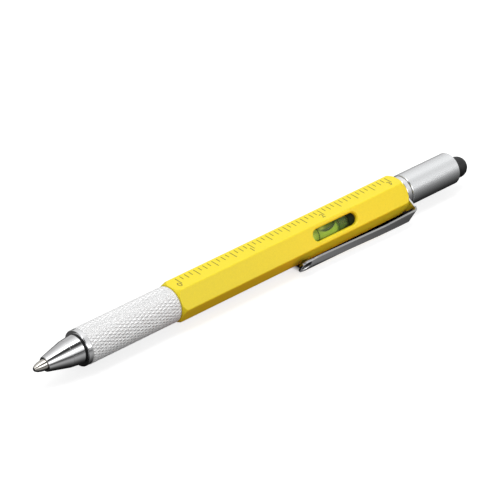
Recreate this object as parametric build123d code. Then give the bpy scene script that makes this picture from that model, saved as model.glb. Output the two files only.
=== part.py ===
from build123d import *
import math
import os

# Multi tool pen, lying along X with its tip at -X and its cap at +X. Sizes in millimetres.
# The origin is on the flat bottom of the six-sided barrel, below the middle of the rule.

# Hexagonal barrel
hex_flats = 10.0
hex_edge_round = 0.5
barrel_bore_r = 4.0
barrel_end_chamfer = 1.3
barrel_end_bulge = 0.03
barrel_front_land_r = 5.05
barrel_rear_land_r = 5.1
window_length = 15.9
window_width = 3.4
window_bevel = 0.35
window_x = 13.45

# Inch rule on the top face
inch = 25.4
rule_inches = 3
ticks_per_inch = 16
rule_front_margin = 3.6
rule_rear_margin = 2.6
tick_width = 0.22
tick_proud = 0.02
tick_start_y = 2.1
tick_short = 1.6
tick_eighth = 2.0
tick_quarter = 2.8
digit_height = 1.8
digit_width = 1.15
digit_stroke = 0.26
digit_y = -0.9
digit_before_tick = 0.85

# Spirit level
vial_x = 12.1
vial_length = 14.0
vial_outer_r = 2.5
vial_wall = 0.48
vial_end_wall = 0.8
vial_plug_length = 0.8
vial_towards_window = 1.2
bubble_length = 6.8
bubble_r = 1.05
index_spacing = 7.5
index_width = 0.35
index_thick = 0.05
cradle_front_overhang = 2.0
cradle_rear_overhang = 4.3

# Knurled grip, trim ring and nose
washer_thick = 0.2
washer_r = 4.6
grip_length = 29.5
grip_r = 5.0
grip_end_chamfer = 0.25
grip_bore_r = 3.6
ring_length = 1.35
ring_r = 4.93
nose_groove = 0.4
nose_groove_r = 3.7
band_length = 3.5
band_rear_r = 4.0
band_front_r = 3.6
cone_length = 6.6
mouth_r = 2.02
mouth_bore_r = 1.62
mouth_bore_length = 2.6
nose_bore_r = 1.8
nose_spigot_length = 6.0
nose_spigot_r = 2.9

# Grip core, the tube that carries the grip and turns in the barrel
core_bore_r = 2.1
journal_r = 3.15
bush_length = 4.0
snap_ring_thick = 0.5
snap_ring_r = 3.7
snap_ring_gap = 2.4
snap_groove_depth = 0.35
journal_lead = 0.6
drag_ring_wire_r = 0.3
cam_seat_r = 2.58
cam_seat_length = 4.0

# Twist mechanism: a turning cam with a spiral slot round a fixed guide with a straight slot
cam_r = 3.35
cam_bore_r = 2.62
cam_end_wall = 1.3
guide_r = 2.5
guide_bore_r = 2.0
guide_front_wall = 1.2
guide_flange_length = 2.0
guide_end_room = 0.4
carrier_r = 1.9
carrier_length = 13.0
carrier_socket_depth = 4.0
pin_r = 0.55
pin_reach_r = 3.2
pin_from_carrier_front = 9.0
slot_clearance = 0.1
twist_angle = 180.0
refill_travel = 4.8

# Refill
refill_r = 1.5
refill_wall = 0.35
tip_out = 3.65
tip_mouth_r = 1.5
tip_shank_r = 1.38
tip_length = 7.4
tip_tail_length = 2.0
tip_channel_r = 0.45
tip_lip_wall = 0.04
tip_curve_length = 0.9
tip_curve_r = 1.02
ball_r = 0.4
ball_showing = 0.22
follower_length = 3.0
air_length = 8.54
refill_length = 62.0

# Pocket clip on the third face
clip_thick = 0.5
clip_rear_width = 5.4
clip_mid_width = 4.5
clip_front_width = 4.1
clip_wide_length = 3.5
clip_taper_length = 8.5
clip_collar_r = 4.3
clip_split_d = 6.6
clip_bend_d = 7.73
clip_back_d = 7.8
clip_mid_d = 7.46
clip_fore_d = 7.13
clip_back_span = 12.0
clip_fore_span = 6.5
clip_length = 42.3
clip_bend_r = 0.8
clip_corner_r = 1.0
clip_dish_r = 1.75
clip_dish_depth = 1.35
clip_dish_from_end = 2.05
clip_flex_gap = 0.03

# Neck, tool socket and screwdriver bit
neck_ring_length = 1.5
neck_ring_r = 4.4
neck_ring_round = 0.3
neck_r = 3.4
neck_out = 6.8
socket_length = 17.0
socket_bore_depth = 19.8
socket_flats = 4.1
magnet_r = 1.9
magnet_thick = 1.6
cap_seal_wire_r = 0.35
cap_seal_from_end = 2.0
bit_length = 28.0
bit_flats = 4.0
bit_hex_length = 14.0
bit_neck_r = 1.45
bit_blade_thick = 0.6
bit_taper_length = 4.0
bit_shoulder = 0.8
bit_point_length = 1.4
bit_point_r = 0.35
bit_bulge = 0.03
cross_wing = 0.7

# Cap with its soft touch tip
cap_gap = 0.25
cap_length = 18.4
cap_r = 4.6
cap_bore_r = 3.5
cap_bore_depth = 15.0
cap_rim_round = 0.25
stylus_seat_r = 3.25
stylus_seat_depth = 1.2
stylus_neck_r = 3.0
stylus_dome_r = 3.02
stylus_reach = 2.8
stylus_wall = 0.9
stylus_lean = 15.0
stylus_lean_turn = 40.0
stud_r = 1.5
stud_reach = 1.0
stud_flange_r = 3.3
stud_flange_thick = 0.5

# Clearances
fit_gap = 0.02
run_gap = 0.05
face_gap = 0.03
ball_gap = 0.03

# Places along X that follow from the sizes
axis_z = hex_flats / 2
rule_length = rule_inches * inch
barrel_front_x = -rule_length / 2 - rule_front_margin
barrel_rear_x = rule_length / 2 + rule_rear_margin
grip_rear_x = barrel_front_x - washer_thick - 2 * face_gap
grip_front_x = grip_rear_x - grip_length
ring_front_x = grip_front_x - ring_length
band_rear_x = ring_front_x - nose_groove
band_front_x = band_rear_x - band_length
mouth_x = band_front_x - cone_length
tip_x = mouth_x - tip_out
ball_x = tip_x + ball_r
refill_tail_x = tip_x + refill_length
carrier_front_x = refill_tail_x - carrier_socket_depth
carrier_rear_x = carrier_front_x + carrier_length
pin_x = carrier_front_x + pin_from_carrier_front
bush_rear_x = barrel_front_x + bush_length
snap_x = bush_rear_x + run_gap
journal_rear_x = snap_x + snap_ring_thick + run_gap + journal_lead
cam_front_x = journal_rear_x + fit_gap
slot_half = pin_r + slot_clearance
cam_rear_x = pin_x + refill_travel + slot_half + cam_end_wall
guide_front_x = pin_x - slot_half - guide_front_wall
guide_rear_x = cam_rear_x + guide_end_room + guide_flange_length
cradle_front_x = vial_x - vial_length / 2 - cradle_front_overhang
cradle_rear_x = vial_x + vial_length / 2 + cradle_rear_overhang
collar_x = barrel_rear_x + face_gap
neck_ring_x = collar_x + clip_thick + face_gap
neck_end_x = barrel_rear_x + neck_out
socket_front_x = barrel_rear_x - socket_length
socket_floor_x = neck_end_x - socket_bore_depth
cap_base_x = neck_ring_x + neck_ring_length + cap_gap
cap_rim_x = cap_base_x + cap_length
cap_floor_x = cap_base_x + cap_bore_depth
bit_rear_x = socket_floor_x + fit_gap
hex_corner_r = hex_flats / math.sqrt(3)


def turned(points):
    """Solid turned round the X axis from an outline of (x, radius) points."""
    outline = Polyline(*[(x, r) for x, r in points], close=True)
    return revolve(make_face(outline), Axis.X, 360)


def turned_parts(edges):
    """Solid turned round the X axis from joined lines and arcs."""
    return revolve(make_face(edges), Axis.X, 360)


def bulged(start, end, rise):
    """Slightly rounded line that stands away from the X axis by a small rise at its middle."""
    dx = end[0] - start[0]
    dr = end[1] - start[1]
    span = math.hypot(dx, dr)
    middle = ((start[0] + end[0]) / 2 - rise * dr / span, (start[1] + end[1]) / 2 + rise * dx / span)
    return ThreePointArc(start, middle, end)


def tube(x0, x1, outer_r, bore_r=0.0):
    """Plain tube or rod along the X axis."""
    return turned([(x0, bore_r), (x1, bore_r), (x1, outer_r), (x0, outer_r)])


def hex_bar(x0, x1, flats):
    """Six-sided bar along the X axis with a flat on top."""
    side_plane = Plane(origin=(x0, 0, 0), x_dir=(0, 1, 0), z_dir=(1, 0, 0))
    outline = RegularPolygon(flats / 2, 6, major_radius=False)
    return extrude(side_plane * outline, x1 - x0)


def face_plane(number, x=0.0, height=0.0):
    """Plane on a numbered barrel face: 1 is the top, the others follow towards -Y."""
    turn = math.radians(60 * (number - 1))
    normal = (0, -math.sin(turn), math.cos(turn))
    origin = (x, normal[1] * height, normal[2] * height)
    return Plane(origin=origin, x_dir=(1, 0, 0), z_dir=normal)


def ring_of_wire(x, centre_r, wire_r):
    """Round wire ring about the X axis."""
    section = Pos(x, centre_r) * Circle(wire_r)
    return revolve(section, Axis.X, 360)


def barrel():
    bar = hex_bar(barrel_front_x, barrel_rear_x, hex_flats)
    bar = fillet(bar.edges().filter_by(Axis.X), hex_edge_round)
    front_land = (barrel_front_x, barrel_front_land_r)
    front_edge = (barrel_front_x + barrel_end_chamfer, hex_corner_r)
    rear_edge = (barrel_rear_x - barrel_end_chamfer, hex_corner_r)
    rear_land = (barrel_rear_x, barrel_rear_land_r)
    bar = bar & turned_parts([
        bulged(front_land, front_edge, barrel_end_bulge),
        Line(front_edge, rear_edge),
        bulged(rear_edge, rear_land, barrel_end_bulge),
        Polyline(rear_land, (barrel_rear_x, 0), (barrel_front_x, 0), front_land),
    ])
    bar -= tube(barrel_front_x, barrel_rear_x, barrel_bore_r)
    wall = face_plane(2, window_x, hex_flats / 2)
    depth = hex_flats / 2
    bar -= extrude(wall * SlotOverall(window_length, window_width), -depth)
    rim = wall * SlotOverall(window_length + 2 * window_bevel, window_width + 2 * window_bevel)
    floor = wall.offset(-window_bevel) * SlotOverall(window_length, window_width)
    bar -= loft([rim.face(), floor.face()])
    return bar


def tick(x, length):
    """One scale line, from near the face's far edge towards its middle."""
    centre = (x, tick_start_y - length / 2, hex_flats / 2 + tick_proud / 2)
    return Pos(*centre) * Box(tick_width, length, tick_proud)


def digit(number, x):
    """Plain figure drawn with straight strokes."""
    half_w = (digit_width - digit_stroke) / 2
    half_h = (digit_height - digit_stroke) / 2
    strokes = {
        "top": ((0, half_h), (digit_width, digit_stroke)),
        "middle": ((0, 0), (digit_width, digit_stroke)),
        "bottom": ((0, -half_h), (digit_width, digit_stroke)),
        "upper_left": ((-half_w, half_h / 2), (digit_stroke, half_h + digit_stroke)),
        "upper_right": ((half_w, half_h / 2), (digit_stroke, half_h + digit_stroke)),
        "lower_left": ((-half_w, -half_h / 2), (digit_stroke, half_h + digit_stroke)),
        "lower_right": ((half_w, -half_h / 2), (digit_stroke, half_h + digit_stroke)),
        "stem": ((0, 0), (digit_stroke, digit_height)),
    }
    used = {
        0: ["top", "bottom", "upper_left", "upper_right", "lower_left", "lower_right"],
        1: ["stem"],
        2: ["top", "upper_right", "middle", "lower_left", "bottom"],
        3: ["top", "upper_right", "middle", "lower_right", "bottom"],
    }
    figure = None
    for name in used[number]:
        (dx, dy), (width, height) = strokes[name]
        place = Pos(x + dx, digit_y + dy, hex_flats / 2 + tick_proud / 2)
        stroke = place * Box(width, height, tick_proud)
        figure = stroke if figure is None else figure + stroke
    return figure


def rule_marks():
    marks = []
    for count in range(rule_inches * ticks_per_inch + 1):
        x = -rule_length / 2 + count * inch / ticks_per_inch
        if count % (ticks_per_inch // 4) == 0:
            length = tick_quarter
        elif count % (ticks_per_inch // 8) == 0:
            length = tick_eighth
        else:
            length = tick_short
        marks.append(tick(x, length))
    for number in range(rule_inches + 1):
        x = -rule_length / 2 + number * inch - digit_before_tick
        marks.append(digit(number % 4, x))
    return marks


def at_vial(solid):
    """Moves a solid from the barrel's axis to the vial's axis, nearer to the window."""
    shift = face_plane(2).z_dir * vial_towards_window
    return Pos(0, shift.Y, shift.Z) * solid


vial_front_x = vial_x - vial_length / 2
vial_rear_x = vial_x + vial_length / 2
vial_bore_r = vial_outer_r - vial_wall
pocket_r = vial_outer_r + index_thick + face_gap


def vial_cradle():
    block = tube(cradle_front_x, cradle_rear_x, barrel_bore_r - fit_gap)
    x0 = vial_front_x - face_gap
    x1 = vial_rear_x + face_gap
    pocket = at_vial(tube(x0, x1, pocket_r))
    mouth_plane = face_plane(2, (x0 + x1) / 2, vial_towards_window)
    mouth = extrude(mouth_plane * Rectangle(x1 - x0, 2 * pocket_r), barrel_bore_r)
    return block - pocket - mouth


def vial_body():
    body = tube(vial_front_x, vial_rear_x, vial_outer_r)
    return at_vial(body - tube(vial_front_x + vial_end_wall, vial_rear_x, vial_bore_r))


def vial_plug():
    return at_vial(tube(vial_rear_x - vial_plug_length, vial_rear_x, vial_bore_r - fit_gap))


def vial_bubble():
    """Air bubble floating against the top of the tube."""
    half = bubble_length / 2
    lower_half = Pos(0, -bubble_r) * Rectangle(2 * bubble_length, 2 * bubble_r)
    section = Ellipse(half, bubble_r) - lower_half
    solid = revolve(section, Axis.X, 360)
    rise = vial_bore_r - bubble_r - 2 * face_gap
    return at_vial(Pos(vial_x, 0, rise) * solid)


def vial_fluid():
    x0 = vial_front_x + vial_end_wall + fit_gap
    x1 = vial_rear_x - vial_plug_length - fit_gap
    return at_vial(tube(x0, x1, vial_bore_r - fit_gap)) - vial_bubble()


def vial_index():
    rings = []
    for side in (-1, 1):
        x = vial_x + side * index_spacing / 2
        outer = vial_outer_r + index_thick
        rings.append(at_vial(tube(x - index_width / 2, x + index_width / 2, outer, vial_outer_r)))
    return rings


def thrust_washer():
    x0 = barrel_front_x - face_gap - washer_thick
    return tube(x0, x0 + washer_thick, washer_r, journal_r + run_gap)


def twist_bush():
    return tube(barrel_front_x, bush_rear_x, barrel_bore_r - fit_gap, journal_r + run_gap)


def guide_tube():
    """Fixed guide: a flanged tube whose straight slot keeps the carrier from turning."""
    flange_x = guide_rear_x - guide_flange_length
    outline = [
        (guide_front_x, guide_bore_r),
        (guide_rear_x, guide_bore_r),
        (guide_rear_x, barrel_bore_r - fit_gap),
        (flange_x, barrel_bore_r - fit_gap),
        (flange_x, guide_r),
        (guide_front_x, guide_r),
    ]
    body = turned(outline)
    slot_length = refill_travel + 2 * slot_half
    slot_x = pin_x + refill_travel / 2
    slot = extrude(Plane.XY * Pos(slot_x, 0) * SlotOverall(slot_length, 2 * slot_half), guide_r + 1)
    return body - slot


def cam_sleeve():
    """Turning cam: its spiral slot drives the carrier's pin along the guide."""
    body = tube(cam_front_x, cam_rear_x, cam_r, cam_bore_r)
    lead = refill_travel * 360 / twist_angle
    reach = cam_r + 1
    mid_r = (cam_bore_r + cam_r) / 2
    # The slot starts at the pin and winds backwards as it runs to the rear.
    path = Helix(lead, refill_travel, mid_r, lefthand=True)
    path = Rot(0, 90, 0) * path
    start = path @ 0
    start_turn = math.degrees(math.atan2(-start.Y, start.Z))
    path = Pos(pin_x, 0, 0) * (Rot(-start_turn, 0, 0) * path)
    wall = 2 * (reach - mid_r)
    across = Plane(origin=path @ 0, x_dir=(0, 0, 1), z_dir=path % 0)
    section = across * Rectangle(wall, 2 * slot_half)
    body -= sweep(section, path=path, is_frenet=True)
    for end in (0, 1):
        point = path @ end
        outward = Vector(0, point.Y, point.Z).normalized()
        axis_point = Vector(point.X, 0, 0)
        body -= Plane(origin=axis_point, x_dir=(1, 0, 0), z_dir=outward) * Cylinder(
            slot_half, reach, align=(Align.CENTER, Align.CENTER, Align.MIN))
    return body


def grip_sleeve():
    c = grip_end_chamfer
    return turned([
        (grip_front_x, grip_bore_r),
        (grip_rear_x, grip_bore_r),
        (grip_rear_x, grip_r - c),
        (grip_rear_x - c, grip_r),
        (grip_front_x + c, grip_r),
        (grip_front_x, grip_r - c),
    ])


drag_ring_x = barrel_front_x + bush_length / 2
drag_ring_centre_r = journal_r + run_gap - face_gap - drag_ring_wire_r


def grip_core():
    """Brass tube: grip seat in front, bearing journal, then the seat of the cam."""
    front_x = grip_front_x + fit_gap
    spigot_x = ring_front_x + nose_spigot_length + fit_gap
    groove_half = drag_ring_wire_r + fit_gap
    groove_r = drag_ring_centre_r - groove_half
    snap_r = journal_r - snap_groove_depth
    return turned([
        (front_x, nose_spigot_r + fit_gap),
        (spigot_x, nose_spigot_r + fit_gap),
        (spigot_x, core_bore_r),
        (journal_rear_x + cam_seat_length, core_bore_r),
        (journal_rear_x + cam_seat_length, cam_seat_r),
        (journal_rear_x, cam_seat_r),
        (journal_rear_x, journal_r),
        (snap_x + snap_ring_thick + fit_gap, journal_r),
        (snap_x + snap_ring_thick + fit_gap, snap_r),
        (snap_x - fit_gap, snap_r),
        (snap_x - fit_gap, journal_r),
        (drag_ring_x + groove_half, journal_r),
        (drag_ring_x + groove_half, groove_r),
        (drag_ring_x - groove_half, groove_r),
        (drag_ring_x - groove_half, journal_r),
        (grip_rear_x, journal_r),
        (grip_rear_x, grip_bore_r - fit_gap),
        (front_x, grip_bore_r - fit_gap),
    ])


def snap_ring():
    ring = tube(snap_x, snap_x + snap_ring_thick, snap_ring_r, journal_r - snap_groove_depth + fit_gap)
    gap = Pos(snap_x, 0, snap_ring_r) * Box(4 * snap_ring_thick, snap_ring_gap, 2 * snap_ring_r)
    return ring - gap


def drag_ring():
    return ring_of_wire(drag_ring_x, drag_ring_centre_r, drag_ring_wire_r)


def nose_cone():
    spigot_end_x = ring_front_x + nose_spigot_length
    return turned([
        (mouth_x, mouth_bore_r),
        (mouth_x + mouth_bore_length, mouth_bore_r),
        (mouth_x + mouth_bore_length + nose_bore_r - mouth_bore_r, nose_bore_r),
        (spigot_end_x, nose_bore_r),
        (spigot_end_x, nose_spigot_r),
        (ring_front_x, nose_spigot_r),
        (ring_front_x, nose_groove_r),
        (band_rear_x, nose_groove_r),
        (band_rear_x, band_rear_r),
        (band_front_x, band_front_r),
        (mouth_x, mouth_r),
    ])


def nose_ring():
    x0 = ring_front_x + fit_gap
    x1 = grip_front_x - fit_gap
    edge = 0.1
    return turned([
        (x0, nose_spigot_r + fit_gap),
        (x1, nose_spigot_r + fit_gap),
        (x1, ring_r),
        (x0 + edge, ring_r),
        (x0, ring_r - edge),
    ])


def refill_tip():
    """Bullet-shaped metal tip that holds the ball, with a shank in the tube."""
    lip_x = tip_x + ball_showing
    cup = ball_r + ball_gap
    lip_r = cup + tip_lip_wall
    shoulder_x = tip_x + tip_length
    tail_r = refill_r - refill_wall - fit_gap
    channel_x = ball_x + cup + tip_lip_wall
    curve_middle = (lip_x + tip_curve_length, tip_curve_r)
    body = turned_parts([
        ThreePointArc((lip_x, lip_r), curve_middle, (mouth_x, tip_mouth_r)),
        Polyline(
            (mouth_x, tip_mouth_r),
            (shoulder_x, tip_shank_r),
            (shoulder_x, tail_r),
            (shoulder_x + tip_tail_length, tail_r),
            (shoulder_x + tip_tail_length, tip_channel_r),
            (channel_x, tip_channel_r),
            (channel_x, 0),
            (lip_x, 0),
            (lip_x, lip_r),
        ),
    ])
    return body - Pos(ball_x, 0, 0) * Sphere(cup)


def writing_ball():
    return Pos(ball_x, 0, 0) * Sphere(ball_r)


tube_front_x = tip_x + tip_length + fit_gap
ink_front_x = tip_x + tip_length + tip_tail_length + fit_gap
follower_rear_x = refill_tail_x - air_length
follower_front_x = follower_rear_x - follower_length


def refill_tube():
    return tube(tube_front_x, refill_tail_x, refill_r, refill_r - refill_wall)


def ink_column():
    return tube(ink_front_x, follower_front_x - fit_gap, refill_r - refill_wall - fit_gap)


def ink_follower():
    return tube(follower_front_x, follower_rear_x, refill_r - refill_wall - fit_gap)


def refill_carrier():
    body = tube(carrier_front_x, carrier_rear_x, carrier_r)
    body -= tube(carrier_front_x, refill_tail_x + fit_gap, refill_r + fit_gap)
    hole = Pos(pin_x, 0, 0) * Cylinder(
        pin_r + fit_gap, carrier_r + 1, align=(Align.CENTER, Align.CENTER, Align.MIN))
    return body - hole


def carrier_pin():
    return Pos(pin_x, 0, fit_gap) * Cylinder(
        pin_r, pin_reach_r - fit_gap, align=(Align.CENTER, Align.CENTER, Align.MIN))


def clip_collar():
    """Ring clamped behind the barrel, with the tab that carries the clip's arm."""
    x1 = collar_x + clip_thick
    ring = tube(collar_x, x1, clip_collar_r)
    tab_plane = face_plane(3, (collar_x + x1) / 2)
    tab = extrude(tab_plane * Rectangle(clip_thick, clip_rear_width), clip_split_d)
    return ring + tab - tube(collar_x, x1, neck_r + run_gap)


clip_front_x = collar_x + clip_thick - clip_length


def clip_arm():
    """Springy strip: up from the collar, bent forward along the face, a dish pressed in its end."""
    mid_x = collar_x + clip_thick / 2
    start_d = clip_split_d + clip_flex_gap
    back_x = mid_x - clip_back_span
    fore_x = clip_front_x + clip_fore_span
    side = Plane(origin=(0, 0, 0), x_dir=(1, 0, 0), z_dir=face_plane(3).y_dir * -1)
    path = FilletPolyline(
        (mid_x, start_d),
        (mid_x, clip_bend_d),
        (back_x, clip_back_d),
        ((back_x + fore_x) / 2, clip_mid_d),
        (fore_x, clip_fore_d),
        (clip_front_x, clip_fore_d),
        radius=clip_bend_r,
    )
    strip_line = side * path
    start = side * Pos(mid_x, start_d)
    across = Plane(origin=start.position, x_dir=(1, 0, 0), z_dir=face_plane(3).z_dir)
    strip = sweep(across * Rectangle(clip_thick, clip_rear_width), path=strip_line)
    # The dish is a shallow cup, hollow on the outside, whose round back faces the barrel.
    outer_d = clip_fore_d + clip_thick / 2
    ball = (clip_dish_r ** 2 + clip_dish_depth ** 2) / (2 * clip_dish_depth)
    centre_d = outer_d - clip_dish_depth + ball
    dish_x = clip_front_x + clip_dish_from_end
    dish = side * Pos(dish_x, centre_d)
    inward = face_plane(3, dish_x, outer_d - clip_thick / 2)
    room = 4 * clip_rear_width
    below = inward * Box(room, room, room, align=(Align.CENTER, Align.CENTER, Align.MAX))
    strip += Pos(dish.position) * Sphere(ball + clip_thick) & below
    strip -= Pos(dish.position) * Sphere(ball)
    rear_x = mid_x + clip_thick
    wide_x = mid_x - clip_wide_length
    narrow_x = wide_x - clip_taper_length
    rear_half = clip_rear_width / 2
    mid_half = clip_mid_width / 2
    front_half = clip_front_width / 2
    edge = [
        (rear_x, rear_half),
        (wide_x, rear_half),
        (narrow_x, mid_half),
        (clip_front_x, front_half),
    ]
    mirrored = [(x, -y) for x, y in reversed(edge)]
    outline = make_face(Polyline(*edge, *mirrored, close=True))
    front_corners = outline.vertices().sort_by(Axis.X)[:2]
    outline = fillet(front_corners, clip_corner_r)
    plan = extrude(face_plane(3) * outline, 2 * hex_flats)
    return strip & plan


def neck_ring():
    x0 = neck_ring_x
    x1 = neck_ring_x + neck_ring_length
    body = tube(x0, x1, neck_ring_r, neck_r + run_gap)
    outer = body.edges().filter_by(GeomType.CIRCLE).sort_by(SortBy.RADIUS)[-2:]
    return chamfer(outer, neck_ring_round)


seal_x = neck_end_x - cap_seal_from_end
seal_centre_r = cap_bore_r - face_gap - cap_seal_wire_r


def tool_socket():
    groove_half = cap_seal_wire_r + fit_gap
    groove_r = seal_centre_r - groove_half
    body = turned([
        (socket_front_x, 0),
        (socket_front_x, barrel_bore_r - fit_gap),
        (barrel_rear_x, barrel_bore_r - fit_gap),
        (barrel_rear_x, neck_r),
        (seal_x - groove_half, neck_r),
        (seal_x - groove_half, groove_r),
        (seal_x + groove_half, groove_r),
        (seal_x + groove_half, neck_r),
        (neck_end_x, neck_r),
        (neck_end_x, 0),
    ])
    body -= hex_bar(socket_floor_x, neck_end_x, socket_flats)
    return body - tube(socket_floor_x - magnet_thick - fit_gap, socket_floor_x, magnet_r + fit_gap)


def socket_magnet():
    return tube(socket_floor_x - magnet_thick, socket_floor_x - fit_gap, magnet_r)


def cap_seal():
    return ring_of_wire(seal_x, seal_centre_r, cap_seal_wire_r)


def screwdriver_bit():
    """Double-ended bit: flat blade inside, cross point outside."""
    x0 = bit_rear_x
    x1 = bit_rear_x + bit_length
    mid = (x0 + x1) / 2
    half_hex = bit_hex_length / 2
    corner_r = bit_flats / math.sqrt(3)
    neck_front = (mid - half_hex, bit_neck_r)
    hex_front = (mid - half_hex + bit_shoulder, corner_r)
    hex_rear = (mid + half_hex - bit_shoulder, corner_r)
    neck_rear = (mid + half_hex, bit_neck_r)
    point_front = (x1 - bit_point_length, bit_neck_r)
    point_rear = (x1, bit_point_r)
    shape = turned_parts([
        Polyline((x0, 0), (x0, bit_neck_r), neck_front),
        bulged(neck_front, hex_front, bit_bulge),
        Line(hex_front, hex_rear),
        bulged(hex_rear, neck_rear, bit_bulge),
        Line(neck_rear, point_front),
        bulged(point_front, point_rear, bit_bulge),
        Polyline(point_rear, (x1, 0), (x0, 0)),
    ])
    shape = shape & hex_bar(x0, x1, bit_flats)
    blade_half = bit_blade_thick / 2
    for side in (-1, 1):
        wedge = Polyline(
            (x0, side * blade_half),
            (x0 + bit_taper_length, side * bit_flats),
            (x0, side * bit_flats),
            close=True,
        )
        cut = extrude(Plane.XZ * make_face(wedge), bit_flats, both=True)
        shape -= cut
    for turn in (0, 90, 180, 270):
        flute = Box(bit_taper_length, bit_flats, bit_flats, align=(Align.MIN, Align.MIN, Align.MIN))
        offset = cross_wing / 2
        shape -= Rot(turn, 0, 0) * Pos(x1 - bit_taper_length / 2, offset, offset) * flute
    return shape


def cap():
    c = cap_rim_round
    seat_x = cap_rim_x - stylus_seat_depth
    return turned([
        (cap_base_x, cap_bore_r),
        (cap_floor_x, cap_bore_r),
        (cap_floor_x, stud_r + fit_gap),
        (seat_x, stud_r + fit_gap),
        (seat_x, stylus_seat_r),
        (cap_rim_x, stylus_seat_r),
        (cap_rim_x, cap_r - c),
        (cap_rim_x - c, cap_r),
        (cap_base_x + c, cap_r),
        (cap_base_x, cap_r - c),
    ])


def stylus_stud():
    """Metal stud that holds the soft tip and touches the cap."""
    flange_x = cap_floor_x - stud_flange_thick - fit_gap
    return turned([
        (flange_x, 0),
        (flange_x, stud_flange_r),
        (cap_floor_x - fit_gap, stud_flange_r),
        (cap_floor_x - fit_gap, stud_r),
        (cap_rim_x + stud_reach, stud_r),
        (cap_rim_x + stud_reach, 0),
    ])


def stylus_tip():
    """Hollow soft dome that leans to one side of the cap."""
    seat_x = cap_rim_x - stylus_seat_depth + fit_gap
    base = tube(seat_x, cap_rim_x + face_gap, stylus_seat_r - fit_gap)
    lean_way = Rot(-stylus_lean_turn, 0, 0) * Rot(0, stylus_lean, 0)
    leaning = Pos(cap_rim_x, 0, 0) * lean_way
    neck = leaning * tube(-stylus_reach, stylus_reach, stylus_neck_r)
    clear_x = cap_rim_x + face_gap
    room = 4 * stylus_dome_r
    neck = neck & Pos(clear_x, 0, 0) * Box(room, room, room, align=(Align.MIN, Align.CENTER, Align.CENTER))
    dome = leaning * Pos(stylus_reach, 0, 0) * Sphere(stylus_dome_r)
    hollow = leaning * Pos(stylus_reach, 0, 0) * Sphere(stylus_dome_r - stylus_wall)
    stud_hole = tube(seat_x, cap_rim_x + stud_reach + face_gap, stud_r + fit_gap)
    return base + neck + dome - hollow - stud_hole


nodes = {
    "barrel": barrel,
    "rule_marks": rule_marks,
    "vial_cradle": vial_cradle,
    "vial_body": vial_body,
    "vial_plug": vial_plug,
    "vial_fluid": vial_fluid,
    "vial_bubble": vial_bubble,
    "vial_index_rings": vial_index,
    "thrust_washer": thrust_washer,
    "twist_bush": twist_bush,
    "guide_tube": guide_tube,
    "cam_sleeve": cam_sleeve,
    "grip_sleeve": grip_sleeve,
    "grip_core": grip_core,
    "snap_ring": snap_ring,
    "drag_o_ring": drag_ring,
    "nose_cone": nose_cone,
    "nose_ring": nose_ring,
    "refill_tip": refill_tip,
    "writing_ball": writing_ball,
    "refill_tube": refill_tube,
    "ink_column": ink_column,
    "ink_follower": ink_follower,
    "refill_carrier": refill_carrier,
    "carrier_pin": carrier_pin,
    "clip_collar": clip_collar,
    "clip_arm": clip_arm,
    "neck_ring": neck_ring,
    "tool_socket": tool_socket,
    "socket_magnet": socket_magnet,
    "cap_o_ring": cap_seal,
    "screwdriver_bit": screwdriver_bit,
    "cap": cap,
    "stylus_stud": stylus_stud,
    "stylus_tip": stylus_tip,
}

os.makedirs("parts", exist_ok=True)
for name, build in nodes.items():
    made = build()
    pieces = made if isinstance(made, list) else [made]
    lifted = [Pos(0, 0, axis_z) * piece for piece in pieces]
    solids = [solid for piece in lifted for solid in piece.solids()]
    shape = solids[0] if len(solids) == 1 else Compound(children=solids)
    export_step(shape, "parts/" + name + ".step")
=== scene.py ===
import math

import bmesh
import bpy
from mathutils import Matrix, Vector


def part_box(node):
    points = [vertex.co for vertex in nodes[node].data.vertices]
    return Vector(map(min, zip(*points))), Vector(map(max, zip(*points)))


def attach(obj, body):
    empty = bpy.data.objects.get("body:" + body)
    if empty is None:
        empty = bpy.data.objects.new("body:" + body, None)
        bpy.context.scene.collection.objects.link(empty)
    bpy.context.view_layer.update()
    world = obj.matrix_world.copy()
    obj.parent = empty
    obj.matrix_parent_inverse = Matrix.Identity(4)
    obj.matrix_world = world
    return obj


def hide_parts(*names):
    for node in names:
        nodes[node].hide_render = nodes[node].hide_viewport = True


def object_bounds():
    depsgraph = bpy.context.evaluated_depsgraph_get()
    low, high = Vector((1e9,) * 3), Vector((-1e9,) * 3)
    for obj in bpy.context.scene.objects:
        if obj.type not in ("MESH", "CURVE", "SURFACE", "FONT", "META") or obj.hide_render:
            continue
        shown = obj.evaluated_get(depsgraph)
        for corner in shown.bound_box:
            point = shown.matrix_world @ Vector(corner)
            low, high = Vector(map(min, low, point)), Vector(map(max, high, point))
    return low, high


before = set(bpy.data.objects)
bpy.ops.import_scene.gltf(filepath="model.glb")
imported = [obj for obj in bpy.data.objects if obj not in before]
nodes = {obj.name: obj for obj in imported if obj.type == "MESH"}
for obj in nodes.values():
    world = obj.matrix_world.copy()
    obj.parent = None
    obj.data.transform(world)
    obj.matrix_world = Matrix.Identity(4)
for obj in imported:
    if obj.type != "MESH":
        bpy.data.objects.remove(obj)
cad_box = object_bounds()

# Lengths below are in millimetres and the scene is in metres, so MM turns one into the other.

MM = 0.001
AXIS_Z = 5.0
HEX_HALF = 5.0
ARM_FROM_AXIS = 7.13
INCH = 25.4
RULE_START = -38.1
PICTURE = 500
TAU = 2 * math.pi


def span(node):
    """Lowest and highest corner of a CAD node in millimetres."""
    low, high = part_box(node)
    return [v / MM for v in low], [v / MM for v in high]


def face_normal(number):
    """Outward normal of a barrel face; 1 is the top, 2 holds the window, 3 lies under the clip."""
    turn = math.radians(60 * (number - 1))
    return Vector((0, -math.sin(turn), math.cos(turn)))


# Material helpers


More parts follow.
